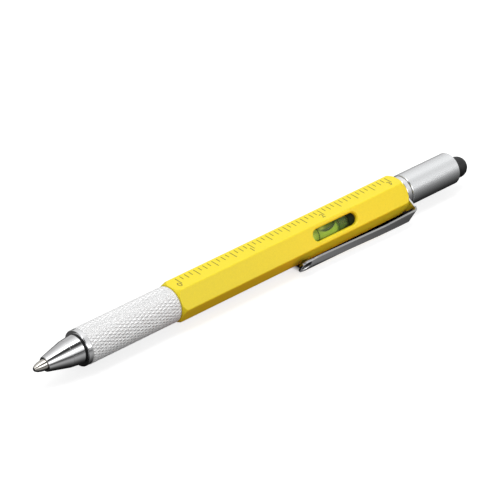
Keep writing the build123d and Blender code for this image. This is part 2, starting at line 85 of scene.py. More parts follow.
def new_material(name):
    mat = bpy.data.materials.new(name)
    mat.use_nodes = True
    tree = mat.node_tree
    shader = tree.nodes["Principled BSDF"]
    return mat, tree, shader


def texture_space(tree, scale=(1, 1, 1)):
    """Object coordinates in millimetres, stretched by scale."""
    coords = tree.nodes.new("ShaderNodeTexCoord")
    mapping = tree.nodes.new("ShaderNodeMapping")
    mapping.inputs["Scale"].default_value = tuple(s / MM for s in scale)
    tree.links.new(coords.outputs["Object"], mapping.inputs["Vector"])
    return mapping.outputs["Vector"]


def noise(tree, vector, scale, detail=4.0, roughness=0.55):
    node = tree.nodes.new("ShaderNodeTexNoise")
    node.inputs["Scale"].default_value = scale
    node.inputs["Detail"].default_value = detail
    node.inputs["Roughness"].default_value = roughness
    tree.links.new(vector, node.inputs["Vector"])
    return node.outputs["Fac"]


def ramp(tree, fac, stops):
    """Colour read from a list of (place, colour) stops."""
    node = tree.nodes.new("ShaderNodeValToRGB")
    elements = node.color_ramp.elements
    while len(elements) < len(stops):
        elements.new(0.5)
    for element, (place, color) in zip(elements, stops):
        element.position = place
        element.color = (*color, 1.0)
    tree.links.new(fac, node.inputs["Fac"])
    return node.outputs["Color"]


def scaled(tree, fac, low, high):
    """Maps 0 to 1 onto low to high."""
    node = tree.nodes.new("ShaderNodeMapRange")
    node.inputs["To Min"].default_value = low
    node.inputs["To Max"].default_value = high
    tree.links.new(fac, node.inputs["Value"])
    return node.outputs["Result"]


def bump(tree, shader, height, strength, distance, rounding=0.0):
    """Bump in millimetres, laid over softly rounded edges."""
    node = tree.nodes.new("ShaderNodeBump")
    node.inputs["Strength"].default_value = strength
    node.inputs["Distance"].default_value = distance * MM
    tree.links.new(height, node.inputs["Height"])
    if rounding:
        bevel = tree.nodes.new("ShaderNodeBevel")
        bevel.samples = 6
        bevel.inputs["Radius"].default_value = rounding * MM
        tree.links.new(bevel.outputs["Normal"], node.inputs["Normal"])
    tree.links.new(node.outputs["Normal"], shader.inputs["Normal"])


def srgb(r, g, b):
    """Linear colour from 0 to 255 screen values."""
    out = []
    for v in (r, g, b):
        v /= 255
        out.append(v / 12.92 if v <= 0.04045 else ((v + 0.055) / 1.055) ** 2.4)
    return tuple(out)


def math_node(tree, operation, first, second=None):
    """One sum on sockets or plain numbers."""
    node = tree.nodes.new("ShaderNodeMath")
    node.operation = operation
    for socket, value in zip(node.inputs, (first, second)):
        if value is None:
            continue
        if isinstance(value, (int, float)):
            socket.default_value = value
        else:
            tree.links.new(value, socket)
    return node.outputs[0]


def product(tree, first, *others):
    for other in others:
        first = math_node(tree, "MULTIPLY", first, other)
    return first


def total(tree, first, *others):
    for other in others:
        first = math_node(tree, "ADD", first, other)
    return first


def toward(tree, vector, direction):
    """How far a vector reaches along a direction."""
    node = tree.nodes.new("ShaderNodeVectorMath")
    node.operation = "DOT_PRODUCT"
    node.inputs[1].default_value = tuple(direction)
    tree.links.new(vector, node.inputs[0])
    return node.outputs["Value"]


def parts(tree, vector):
    """X, Y and Z of a vector."""
    node = tree.nodes.new("ShaderNodeSeparateXYZ")
    tree.links.new(vector, node.inputs["Vector"])
    return node.outputs["X"], node.outputs["Y"], node.outputs["Z"]


def attribute(tree, name):
    node = tree.nodes.new("ShaderNodeAttribute")
    node.attribute_name = name
    return node.outputs["Fac"]


def between(tree, value, low, high, to_low=0.0, to_high=1.0):
    """Maps a value linearly from one range to another, held at its ends."""
    out = scaled(tree, value, to_low, to_high)
    out.node.inputs["From Min"].default_value = low
    out.node.inputs["From Max"].default_value = high
    return out


def grey_stops(stops, length):
    """Ramp stops from (place, level) pairs over a length."""
    return [(place / length, (level,) * 3) for place, level in stops]


def mixed(tree, factor, first, second):
    """Colour between two inputs, each a socket or a plain colour."""
    node = tree.nodes.new("ShaderNodeMix")
    node.data_type = "RGBA"
    tree.links.new(factor, node.inputs["Factor"])
    sockets = [socket for socket in node.inputs if socket.type == "RGBA"]
    for socket, value in zip(sockets, (first, second)):
        if isinstance(value, tuple):
            socket.default_value = value
        else:
            tree.links.new(value, socket)
    return [socket for socket in node.outputs if socket.type == "RGBA"][0]


def finish_material(name, color, metallic, rough, grain=(1, 1, 1), grain_scale=1.5, spread=0.06,
                    shade=0.08, bump_depth=0.004, rounding=0.0, specular=0.5):
    """General finish: a base colour with grain in its colour, its roughness and its relief."""
    mat, tree, shader = new_material(name)
    space = texture_space(tree, grain)
    fine = noise(tree, space, grain_scale)
    darker = tuple(c * (1 - shade) for c in color)
    lighter = tuple(min(1.0, c * (1 + shade)) for c in color)
    tree.links.new(ramp(tree, fine, [(0.3, darker), (0.7, lighter)]), shader.inputs["Base Color"])
    tree.links.new(scaled(tree, fine, rough - spread, rough + spread), shader.inputs["Roughness"])
    shader.inputs["Metallic"].default_value = metallic
    shader.inputs["Specular IOR Level"].default_value = specular
    bump(tree, shader, fine, 0.4, bump_depth, rounding)
    return mat


def dulled_clip(mat):
    """Duller on the clip's sheared edges, with painted shade deep in its dish and on the back of its end.
    """
    tree = mat.node_tree
    shader = tree.nodes["Principled BSDF"]
    base = shader.inputs["Base Color"].links[0].from_socket
    coords = tree.nodes.new("ShaderNodeTexCoord")
    normal = coords.outputs["Normal"]
    place = coords.outputs["Object"]
    x = parts(tree, place)[0]
    out = face_normal(3)
    across = Vector((1, 0, 0)).cross(out)
    arm_plane = (ARM_FROM_AXIS + out.z * AXIS_Z) * MM
    dish_floor = arm_plane + 0.17 * MM
    sideways = math_node(tree, "ABSOLUTE", toward(tree, normal, across))
    sheared = product(tree, between(tree, sideways, 0.75, 0.95), between(tree, x, 2.5 * MM, 4.5 * MM))
    # Painted shade: darker deep in the dish.
    dish_painted_shade = product(tree, between(tree, toward(tree, normal, out), -0.1, 0.1),
                   between(tree, toward(tree, place, out), arm_plane, dish_floor, 1.0, 0.0),
                   between(tree, x, 3.0 * MM, 3.5 * MM, 1.0, 0.0))
    # Painted shade: darker on the back of the clip near its end.
    inner = product(tree, between(tree, toward(tree, normal, -out), 0.2, 0.6),
                    between(tree, x, 1.5 * MM, 4.0 * MM, 1.0, 0.0))
    color = base
    for factor, grey in ((sheared, 0.40), (dish_painted_shade, 0.06), (inner, 0.08)):
        color = mixed(tree, factor, color, (grey, grey, grey, 1.0))
    tree.links.new(color, shader.inputs["Base Color"])


# Materials

yellow = finish_material("satin_yellow_enamel", srgb(247, 226, 42), 0.0, 0.34, grain_scale=2.2,
                         spread=0.05, shade=0.03, bump_depth=0.006, rounding=0.12, specular=0.3)
chrome = finish_material("polished_chrome", (0.80, 0.80, 0.81), 1.0, 0.10, grain=(0.4, 3, 3),
                         grain_scale=3.0, spread=0.03, shade=0.03, bump_depth=0.0006)
clip_steel = finish_material("plated_clip", (0.72, 0.72, 0.73), 1.0, 0.22, grain=(0.2, 4, 4),
                             grain_scale=4.0, spread=0.05, shade=0.05, bump_depth=0.001)
dulled_clip(clip_steel)
satin = finish_material("satin_aluminium", (0.76, 0.77, 0.78), 1.0, 0.24, grain=(0.6, 6, 6),
                        grain_scale=3.0, spread=0.03, shade=0.05, bump_depth=0.0015)
grip_metal = finish_material("knurled_plate", (0.80, 0.80, 0.80), 0.55, 0.46, grain_scale=3.0,
                             spread=0.05, shade=0.03, bump_depth=0.001)
tip_metal = finish_material("nickel_silver", (0.72, 0.69, 0.64), 1.0, 0.16, grain=(3, 1, 1),
                            grain_scale=4.0, spread=0.04, shade=0.05, bump_depth=0.0008)
ball_metal = finish_material("carbide_ball", (0.06, 0.06, 0.06), 1.0, 0.30, grain_scale=6.0,
                             spread=0.03, shade=0.1, bump_depth=0.0005)
rubber = finish_material("black_rubber", srgb(24, 25, 26), 0.0, 0.55, grain_scale=5.0,
                         spread=0.1, shade=0.2, bump_depth=0.01, specular=0.45)
print_ink = finish_material("rule_print", srgb(128, 110, 22), 0.0, 0.5, grain_scale=6.0,
                            spread=0.1, shade=0.2, bump_depth=0.002)
black_plastic = finish_material("black_plastic", srgb(24, 37, 17), 0.0, 0.6, grain_scale=4.0,
                                spread=0.1, shade=0.2, bump_depth=0.004, specular=0.12)
white_plastic = finish_material("natural_acetal", srgb(226, 225, 218), 0.0, 0.45, grain_scale=3.0,
                                spread=0.08, shade=0.05, bump_depth=0.004)
brass = finish_material("turned_brass", (0.78, 0.60, 0.28), 1.0, 0.28, grain=(6, 1, 1),
                        grain_scale=3.0, spread=0.06, shade=0.1, bump_depth=0.002)
steel = finish_material("ground_steel", (0.55, 0.56, 0.58), 1.0, 0.3, grain=(5, 1, 1),
                        grain_scale=3.0, spread=0.08, shade=0.1, bump_depth=0.002)
bit_steel = finish_material("hardened_bit_steel", (0.36, 0.37, 0.39), 1.0, 0.36, grain=(0.5, 3, 3),
                            grain_scale=3.0, spread=0.08, shade=0.15, bump_depth=0.003, rounding=0.08)
seal_rubber = finish_material("seal_rubber", srgb(20, 20, 20), 0.0, 0.4, grain_scale=6.0,
                              spread=0.08, shade=0.2, bump_depth=0.003)
ink_black = finish_material("ink", srgb(8, 8, 14), 0.0, 0.15, grain_scale=2.0,
                            spread=0.04, shade=0.2, bump_depth=0.001)
grease = finish_material("follower_grease", srgb(206, 192, 130), 0.0, 0.2, grain_scale=2.0,
                         spread=0.05, shade=0.1, bump_depth=0.003)
magnet = finish_material("nickel_plate", (0.62, 0.62, 0.64), 1.0, 0.2, grain_scale=3.0,
                         spread=0.05, shade=0.06, bump_depth=0.001)


def glassy(name, color, alpha, rough, ior):
    """See-through plastic; alpha is how much of what lies behind it is hidden."""
    mat, tree, shader = new_material(name)
    space = texture_space(tree)
    fine = noise(tree, space, 1.2)
    darker = tuple(c * 0.9 for c in color)
    tree.links.new(ramp(tree, fine, [(0.35, darker), (0.65, color)]), shader.inputs["Base Color"])
    tree.links.new(scaled(tree, fine, rough, rough + 0.03), shader.inputs["Roughness"])
    shader.inputs["IOR"].default_value = ior
    shader.inputs["Alpha"].default_value = alpha
    bump(tree, shader, fine, 0.3, 0.003)
    return mat


def fluid_material():
    """Level liquid: lime towards the front end, with painted shade darkening it to deep green towards the
    rear, and a painted glow that is strongest at the front end and towards the lower side.
    """
    mat, tree, shader = new_material("level_fluid")
    low, high = span("vial_fluid")
    coords = tree.nodes.new("ShaderNodeTexCoord")
    x, y, z = parts(tree, coords.outputs["Object"])
    along = between(tree, x, low[0] * MM, high[0] * MM)
    # The colour ramp paints shade: dark green towards the rear end.
    color = ramp(tree, along, [
        (0.0, srgb(178, 208, 86)), (0.15, srgb(150, 188, 66)), (0.45, srgb(128, 170, 52)),
        (0.755, srgb(112, 156, 46)), (0.79, srgb(54, 96, 32)), (1.0, srgb(34, 66, 26))])
    tree.links.new(color, shader.inputs["Base Color"])
    fine = noise(tree, texture_space(tree, (0.5, 2, 2)), 0.8)
    tree.links.new(scaled(tree, fine, 0.2, 0.35), shader.inputs["Roughness"])
    shader.inputs["Specular IOR Level"].default_value = 0.15
    # Painted light: an emitted glow standing in for light through the liquid, brightest at the front end.
    glow = ramp(tree, along, [
        (0.0, (0.75, 0.66, 0.14)), (0.1, (0.12, 0.13, 0.02)), (0.25, (0.10, 0.12, 0.015)),
        (0.45, (0.22, 0.26, 0.03)), (0.755, (0.20, 0.27, 0.03)), (0.79, (0.05, 0.08, 0.01)),
        (1.0, (0.03, 0.05, 0.005))])
    tree.links.new(glow, shader.inputs["Emission Color"])
    middle_y = (low[1] + high[1]) / 2
    middle_z = (low[2] + high[2]) / 2
    inward, downward = 0.5, 0.866
    # The painted glow is made stronger towards the lower side.
    down = total(tree, product(tree, y, -inward / MM), product(tree, z, -downward / MM),
                 inward * middle_y + downward * middle_z)
    tree.links.new(between(tree, down, -0.8, 1.5, 0.2, 1.0), shader.inputs["Emission Strength"])
    bump(tree, shader, fine, 0.3, 0.02)
    return mat


def bubble_material():
    """Air bubble: green seen through it, a painted dark rim, and a painted highlight towards its front
    end.
    """
    mat, tree, shader = new_material("bubble_air")
    # Painted shade: the ramp darkens towards the bubble's rim.
    color = ramp(tree, attribute(tree, "rim"), [
        (0.0, srgb(106, 136, 52)), (0.5, srgb(96, 124, 46)), (0.74, srgb(74, 100, 38)),
        (0.88, srgb(46, 70, 26)), (1.0, srgb(60, 90, 34))])
    # A pale painted highlight is mixed in towards the front end.
    color = mixed(tree, attribute(tree, "painted_highlight"), color, (*srgb(196, 224, 112), 1.0))
    tree.links.new(color, shader.inputs["Base Color"])
    shader.inputs["Specular IOR Level"].default_value = 0.25
    fine = noise(tree, texture_space(tree, (0.5, 2, 2)), 0.9)
    tree.links.new(scaled(tree, fine, 0.1, 0.2), shader.inputs["Roughness"])
    bump(tree, shader, fine, 0.2, 0.01)
    return mat


ring_paint = finish_material("ring_paint", srgb(34, 52, 24), 0.0, 0.5, grain_scale=6.0, spread=0.1,
                             shade=0.2, bump_depth=0.002, specular=0.2)
clear = glassy("clear_acrylic", srgb(206, 232, 150), 0.07, 0.05, 1.2)
# The end plug's dark green is painted shade at the rear end of the level.
end_plug_shade = glassy("acrylic_end_painted_shade", srgb(70, 116, 48), 0.72, 0.08, 1.3)
fluid = fluid_material()
bubble_air = bubble_material()


# Mesh helpers


def link_object(name, data):
    obj = bpy.data.objects.new(name, data)
    bpy.context.scene.collection.objects.link(obj)
    return obj


def link_mesh(name, bm, material, smooth_angle=35.0):
    """Smooth object from a bmesh, sharp where it turns by more than the angle."""
    mesh = bpy.data.meshes.new(name)
    bmesh.ops.recalc_face_normals(bm, faces=bm.faces)
    for face in bm.faces:
        face.smooth = True
    bm.to_mesh(mesh)
    bm.free()
    mesh.set_sharp_from_angle(angle=math.radians(smooth_angle))
    mesh.materials.append(material)
    return link_object(name, mesh)


def circle(bm, x, radius, count, centre=(0.0, AXIS_Z)):
    """Points round an axis along X."""
    made = []
    for k in range(count):
        a = TAU * k / count
        y = centre[0] + radius * math.cos(a)
        z = centre[1] + radius * math.sin(a)
        made.append(bm.verts.new((x * MM, y * MM, z * MM)))
    return made


def softened(corners, steps=5):
    """Outline of (x, radius, rounding) corners with each rounding drawn as a short arc.

    A point close beside each arc keeps the shading of the straight run next to it level.
    """
    most = 0.45
    beside = 0.04
    room = 0.06
    free = 0.47
    out = []
    count = len(corners)
    for i, (x, r, fillet) in enumerate(corners):
        here = Vector((x, r))
        before = Vector(corners[i - 1][:2]) - here
        after = Vector(corners[(i + 1) % count][:2]) - here
        if fillet <= 0 or before.length < 1e-9 or after.length < 1e-9:
            out.append((x, r))
            continue
        angle = before.angle(after)
        setback = min(fillet / math.tan(angle / 2), most * before.length, most * after.length)
        a = here + before.normalized() * setback
        b = here + after.normalized() * setback
        if setback + room < free * before.length:
            out.append(tuple(here + before.normalized() * (setback + beside)))
        for k in range(steps + 1):
            t = k / steps
            point = a * (1 - t) ** 2 + here * (2 * t * (1 - t)) + b * t ** 2
            out.append((point.x, point.y))
        if setback + room < free * after.length:
            out.append(tuple(here + after.normalized() * (setback + beside)))
    return out


def lathe(name, corners, material, segments=160, centre=(0.0, AXIS_Z)):
    """Closed ring or rod turned about an axis along X, from (x, radius, rounding) corners."""
    outline = softened(corners)
    bm = bmesh.new()
    rings = []
    for x, r in outline:
        if r < 1e-6:
            rings.append([bm.verts.new((x * MM, centre[0] * MM, centre[1] * MM))])
            continue
        rings.append(circle(bm, x, r, segments, centre))
    for i, ring in enumerate(rings):
        other = rings[(i + 1) % len(rings)]
        if len(ring) == 1 and len(other) == 1:
            continue
        for k in range(segments):
            n = (k + 1) % segments
            quad = [ring[k % len(ring)], ring[n % len(ring)],
                    other[n % len(other)], other[k % len(other)]]
            face = []
            for vert in quad:
                if vert not in face:
                    face.append(vert)
            if len(face) > 2:
                bm.faces.new(face)
    return link_mesh(name, bm, material)


def dress(piece, body, slot, *stands_for):
    """Gives a piece its body and hides the CAD nodes that it stands for. The slot is not used."""
    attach(piece, body)
    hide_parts(*stands_for)
    return piece


# Nose, ring and writing tip

nose_low, nose_high = span("nose_cone")
mouth_x = nose_low[0]
spigot_x = nose_high[0]
ring_low, ring_high = span("nose_ring")
ring_x = ring_low[0]
band_rear = ring_x - 0.42
band_front = band_rear - 3.5
nose = lathe("nose_cone_turned", [
    (mouth_x, 1.62, 0.05), (mouth_x, 2.02, 0.12), (band_front, 3.6, 0.0),
    (band_front + 0.02, 3.56, 0.0), (band_front + 0.09, 3.56, 0.0), (band_front + 0.11, 3.62, 0.0),
    (band_rear, 4.0, 0.12), (band_rear, 3.7, 0.05), (ring_x - 0.02, 3.7, 0.0), (ring_x - 0.02, 2.9, 0.0),
    (spigot_x, 2.9, 0.1), (spigot_x, 1.8, 0.0), (mouth_x + 2.78, 1.8, 0.0), (mouth_x + 2.6, 1.62, 0.0)],
    chrome)
dress(nose, "grip", "bright_chrome", "nose_cone")
# Dark ring in the groove between nose and ring, laid there as painted shade for the groove.
groove_shade_ring = lathe("nose_groove_painted_shade", [
    (band_rear + 0.03, 3.65, 0.0), (band_rear + 0.03, 3.73, 0.0), (ring_x - 0.03, 3.73, 0.0),
    (ring_x - 0.03, 3.65, 0.0)], seal_rubber)
dress(groove_shade_ring, "grip", "bright_chrome", "nose_cone")
ring = lathe("nose_ring_turned", [
    (ring_x, 2.92, 0.0), (ring_x, 4.93, 0.16), (ring_high[0], 4.93, 0.08), (ring_high[0], 2.92, 0.0)],
    chrome)
dress(ring, "grip", "bright_chrome", "nose_ring")

tip_low, tip_high = span("refill_tip")
ball_low, ball_high = span("writing_ball")
lip = tip_low[0]
tip_corners = [
    (lip + 0.3, 0.3, 0.0), (lip, 0.41, 0.03), (lip, 0.50, 0.04), (lip + 0.16, 0.66, 0.05),
    (lip + 0.26, 0.66, 0.03), (lip + 0.45, 0.84, 0.1), (lip + 0.9, 1.06, 0.3), (lip + 1.6, 1.26, 0.5),
    (lip + 2.5, 1.42, 0.5), (mouth_x - 0.2, 1.5, 0.3), (lip + 7.17, 1.38, 0.0), (lip + 7.17, 1.13, 0.0),
    (tip_high[0], 1.13, 0.1), (tip_high[0], 0.45, 0.0), (lip + 0.3, 0.45, 0.0)]
tip = lathe("writing_tip_turned", tip_corners, tip_metal, segments=96)
dress(tip, "refill", "tip_metal", "refill_tip")
ball_x = (ball_low[0] + ball_high[0]) / 2
ball_r = (ball_high[0] - ball_low[0]) / 2
ball_outline = [(ball_x - ball_r * math.cos(math.pi * k / 24), ball_r * math.sin(math.pi * k / 24), 0.0)
                for k in range(25)]
ball = lathe("ball_ground", ball_outline, ball_metal, segments=64)
dress(ball, "ball", "steel", "writing_ball")


# Knurled grip


def knurled_grip():
    """Sleeve with a raised diamond pattern, smooth at its two end chamfers."""
    grip_low, grip_high = span("grip_sleeve")
    x0 = grip_low[0]
    x1 = grip_high[0]
    r = 5.0
    bore_r = 3.6
    chamfer = 0.25
    land = 0.62
    teeth = 34
    axial = 0.416
    depth = 0.22
    around = teeth * 10
    rows = 300
    bm = bmesh.new()
    grid = []
    for i in range(rows + 1):
        x = x0 + (x1 - x0) * i / rows
        ring_verts = []
        from_end = min(x - x0, x1 - x)
        edge = chamfer * max(0.0, 1 - from_end / chamfer)
        fade = min(1.0, max(0.0, (from_end - 0.12) / 0.25))
        for k in range(around):
            a = k / around
            first = (a * teeth + axial * x) % 1.0
            second = (a * teeth - axial * x) % 1.0
            rise = min(1 - abs(2 * first - 1), 1 - abs(2 * second - 1))
            rise = min(rise, land) / land
            rr = r - edge - depth * fade * (1 - rise) * 0.9
            ang = TAU * a
            y = rr * math.cos(ang)
            z = AXIS_Z + rr * math.sin(ang)
            ring_verts.append(bm.verts.new((x * MM, y * MM, z * MM)))
        grid.append(ring_verts)
    inner = [circle(bm, x, bore_r, around) for x in (x0, x1)]
    loops = [inner[0]] + grid + [inner[1]]
    for i, one in enumerate(loops):
        two = loops[(i + 1) % len(loops)]
        for k in range(around):
            n = (k + 1) % around
            bm.faces.new((one[k], one[n], two[n], two[k]))
    return link_mesh("grip_knurled", bm, grip_metal, 50.0)


dress(knurled_grip(), "grip", "grip_metal", "grip_sleeve")


# Barrel, rule and level

def rule_print():
    """Scale lines printed on the top face, one to a sixteenth of an inch."""
    z = 2 * HEX_HALF + 0.012
    half = 0.12
    top = 2.12
    bm = bmesh.new()
    for count in range(49):
        x = RULE_START + count * INCH / 16
        if count % 4 == 0:
            length = 2.85
        elif count % 2 == 0:
            length = 2.0
        else:
            length = 1.6
        corners = ((x - half, top - length), (x + half, top - length), (x + half, top), (x - half, top))
        bm.faces.new([bm.verts.new((px * MM, py * MM, z * MM)) for px, py in corners])
    mesh = bpy.data.meshes.new("rule_lines")
    bm.to_mesh(mesh)
    bm.free()
    mesh.materials.append(print_ink)
    return link_object("rule_lines", mesh)


def figures():
    """Plain figures 0 to 3, each beside its inch line."""
    beside = 0.85
    made = []
    for number in range(4):
        curve = bpy.data.curves.new("figure_%d" % number, "FONT")
        curve.body = str(number)
        curve.size = 2.55 * MM
        curve.align_x = "CENTER"
        curve.align_y = "CENTER"
        curve.extrude = 0.005 * MM
        text = link_object("figure_%d" % number, curve)
        text.matrix_world = Matrix.Translation((
            (RULE_START + number * INCH - beside) * MM, -beside * MM, (2 * HEX_HALF + 0.01) * MM))
        bpy.context.view_layer.update()
        shape = text.evaluated_get(bpy.context.evaluated_depsgraph_get())
        mesh = bpy.data.meshes.new_from_object(shape)
        mesh.transform(text.matrix_world)
        bpy.data.objects.remove(text)
        mesh.materials.clear()
        mesh.materials.append(print_ink)
        made.append(link_object("rule_figure_%d" % number, mesh))
    return made


dress(rule_print(), "barrel", "rule_ink", "rule_marks")
for figure in figures():
    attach(figure, "barrel")


def level_bubble():
    """Long air bubble against the top of the liquid, a little proud of it so that it shows."""
    low, high = span("vial_bubble")
    fluid_low, fluid_high = span("vial_fluid")
    centre_y = (fluid_low[1] + fluid_high[1]) / 2
    centre_z = (fluid_low[2] + fluid_high[2]) / 2
    top_r = (fluid_high[2] - fluid_low[2]) / 2 + 0.03
    middle = (low[0] + high[0]) / 2 + 0.1
    half = (high[0] - low[0]) / 2 + 0.14
    wide = math.radians(71)
    depth = 0.95
    bm = bmesh.new()
    rings = 14
    segments = 72
    layers = []
    for under in (False, True):
        rows = []
        for i in range(rings + 1):
            t = i / rings
            row = []
            for k in range(segments if i else 1):
                a = TAU * k / segments
                x = middle + half * t * math.cos(a)
                turn = wide * t * math.sin(a)
                sink = depth * math.sqrt(max(0.0, 1 - t * t)) if under else 0.0
                edge = 0.01 * max(0.0, (t - 0.75) / 0.25) ** 2
                r = top_r - sink - edge
                row.append(bm.verts.new((x * MM, (centre_y - r * math.sin(turn)) * MM,
                                         (centre_z + r * math.cos(turn)) * MM)))
            rows.append(row)
        layers.append(rows)
    for k in range(segments):
        bm.verts.remove(layers[1][rings][k])
    layers[1][rings] = layers[0][rings]
    for rows in layers:
        for i in range(rings):
            for k in range(segments):
                n = (k + 1) % segments
                if i == 0:
                    bm.faces.new((rows[0][0], rows[1][k], rows[1][n]))
                else:
                    bm.faces.new((rows[i][k], rows[i + 1][k], rows[i + 1][n], rows[i][n]))
    bubble = link_mesh("level_bubble", bm, bubble_air, 60.0)
    rim = bubble.data.attributes.new("rim", "FLOAT", "POINT")
    # The second attribute places the painted highlight towards the front end.
    painted_highlight = bubble.data.attributes.new("painted_highlight", "FLOAT", "POINT")
    for vert, edge_item, lit_item in zip(bubble.data.vertices, rim.data, painted_highlight.data):
        u = (vert.co.x / MM - middle) / half
        v = math.atan2(centre_y - vert.co.y / MM, vert.co.z / MM - centre_z) / wide
        edge_item.value = min(1.0, math.hypot(u, v))
        lit_item.value = math.exp(-((u + 0.55) / 0.34) ** 2 - ((abs(v) - 0.44) / 0.2) ** 2)
    return bubble


dress(level_bubble(), "bubble", "air", "vial_bubble")


def index_rings():
    """Two thin dark lines round the level's tube."""
    low, high = span("vial_index_rings")
    centre = ((low[1] + high[1]) / 2, (low[2] + high[2]) / 2)
    outer = (high[2] - low[2]) / 2
    inset = 0.17
    half = 0.11
    thick = 0.04
    for name, x in (("index_ring_front", low[0] + inset), ("index_ring_rear", high[0] - inset)):
        ring = lathe(name, [
            (x - half, outer - thick, 0.0), (x - half, outer, 0.01), (x + half, outer, 0.01),
            (x + half, outer - thick, 0.0)], ring_paint, 120, centre)
        dress(ring, "barrel", "black_plastic", "vial_index_rings")


index_rings()
for node, material in (
        ("barrel", yellow), ("vial_body", clear), ("vial_plug", end_plug_shade), ("vial_fluid", fluid),
        ("vial_cradle", black_plastic), ("thrust_washer", white_plastic), ("twist_bush", white_plastic),
        ("guide_tube", white_plastic), ("cam_sleeve", white_plastic), ("grip_core", brass),
        ("snap_ring", steel), ("drag_o_ring", seal_rubber), ("refill_tube", brass),
        ("ink_column", ink_black), ("ink_follower", grease), ("refill_carrier", white_plastic),
        ("carrier_pin", steel), ("clip_collar", chrome), ("clip_arm", clip_steel),
        ("tool_socket", steel), ("socket_magnet", magnet), ("cap_o_ring", seal_rubber),
        ("screwdriver_bit", bit_steel), ("stylus_stud", brass)):
    node_materials = nodes[node].data.materials
    node_materials.clear()
    node_materials.append(material)


# Neck ring, cap and soft tip

neck_low, neck_high = span("neck_ring")
neck_rear = neck_high[0] + 0.15
neck = lathe("neck_ring_turned", [
    (neck_low[0], 3.45, 0.0), (neck_low[0], 4.4, 0.18), (neck_rear, 4.4, 0.2), (neck_rear, 3.45, 0.0)],
    chrome)
dress(neck, "barrel", "bright_chrome", "neck_ring")

cap_low, cap_high = span("cap")
base_x = cap_low[0]
rim_x = cap_high[0]
stud_end_x = base_x + 15.0
cap = lathe("cap_turned", [
    (base_x, 3.5, 0.0), (base_x, 4.6, 0.22), (rim_x, 4.6, 0.3), (rim_x, 3.25, 0.1),
    (rim_x - 1.2, 3.25, 0.0), (rim_x - 1.2, 1.52, 0.0), (stud_end_x, 1.52, 0.0), (stud_end_x, 3.5, 0.0)],
    satin)
dress(cap, "cap", "satin_aluminium", "cap")


def soft_tip():
    """Leaning rubber dome with a slight waist at its foot."""
    lean = math.radians(15.0)
    turn = math.radians(40.0)
    foot = Vector((rim_x, 0, AXIS_Z))
    side = Vector((0, -math.sin(turn), -math.cos(turn)))
    forward = (Vector((1, 0, 0)) * math.cos(lean) + side * math.sin(lean)).normalized()
    dome_r = 3.02
    reach = 2.8
    seat_r = 3.2
    seat_depth = 1.0
    rows = [(0.0, 3.0), (0.5, 2.98), (1.1, 2.97), (1.7, 2.99), (2.3, 3.01), (reach, dome_r)]
    for k in range(1, 17):
        a = math.pi / 2 * k / 16
        rows.append((reach + dome_r * math.sin(a), dome_r * math.cos(a)))
    bm = bmesh.new()
    segments = 96
    rings = []
    across = side.cross(Vector((1, 0, 0))).normalized()
    seat = []
    for k in range(segments):
        a = TAU * k / segments
        offset = side * math.cos(a) * seat_r + across * math.sin(a) * seat_r
        seat.append(bm.verts.new((foot + offset - Vector((seat_depth, 0, 0))) * MM))
    rings.append(seat)
    for height, radius in rows:
        tilt = min(1.0, height / 1.6)
        up = (Vector((1, 0, 0)) * (1 - tilt) + forward * tilt).normalized()
        out = (side - up * side.dot(up)).normalized()
        centre = foot + forward * height
        centre.x = max(centre.x, rim_x + 0.02)
        ring_verts = []
        if radius < 1e-6:
            rings.append([bm.verts.new(centre * MM)])
            continue
        for k in range(segments):
            a = TAU * k / segments
            offset = out * math.cos(a) * radius + across * math.sin(a) * radius
            ring_verts.append(bm.verts.new((centre + offset) * MM))
        rings.append(ring_verts)
    for i in range(len(rings) - 1):
        one = rings[i]
        two = rings[i + 1]
        for k in range(segments):
            n = (k + 1) % segments
            if len(two) == 1:
                bm.faces.new((one[k], one[n], two[0]))
            else:
                bm.faces.new((one[k], one[n], two[n], two[k]))
    bm.faces.new(list(reversed(rings[0])))
    return link_mesh("stylus_dome", bm, rubber, 60.0)


dress(soft_tip(), "cap", "black_rubber", "stylus_tip")


# Stage, light and camera

FLOOR_GAP = 0.00005
FLOOR_REACH = 4.0
FLOOR_GREY = 0.42
FLOOR_GLOW = 0.74
FLOOR_BOUNCE = (0.28, 0.08, 0.03)
PLAIN_BOUNCE = (0.16, 0.16, 0.16)
CLIP_BOUNCE = (1.0, 0.34, 0.09)

# Levels that the metal shows of the floor, by the distance from the pen's middle, with painted shadow
# darkening them close to the pen

METAL_SPAN = 120
METAL_NEAR = [(0, 0.008), (3.6, 0.014), (5.5, 0.045), (7.2, 0.10), (10.5, 0.23), (13, 0.32), (19, 0.41),
              (30, 0.38), (50, 0.23), (120, 0.12)]
METAL_FAR = [(0, 0.008), (3.6, 0.014), (6, 0.03), (9, 0.04), (14, 0.08), (22, 0.12), (120, 0.12)]
METAL_BY_CAP = [(0, 0.01), (5, 0.03), (8, 0.08), (12, 0.14), (20, 0.22), (50, 0.35), (120, 0.42)]

# Levels of the light tent round the pen's axis, by the angle up from the front

TENT_SPAN = 180
TENT_FRONT = [(0, 0.14), (4, 0.05), (9, 0.14), (13, 0.55), (18, 1.00), (24, 1.20), (40, 1.15), (45, 0.88),
              (51, 0.42), (56, 0.14), (62, 0.04), (70, 0.04), (77, 0.14), (81.5, 0.42), (86, 0.92),
              (100, 1.10), (114, 1.02), (129, 0.74), (146, 0.56), (180, 0.50)]
TENT_REAR = [(0, 0.45), (5, 0.50), (17, 0.69), (28, 0.88), (40, 0.97), (51, 0.95), (63, 0.91), (75, 0.92),
             (87, 1.0), (100, 1.08), (114, 1.07), (129, 1.02), (146, 0.92), (168, 0.78), (180, 0.75)]


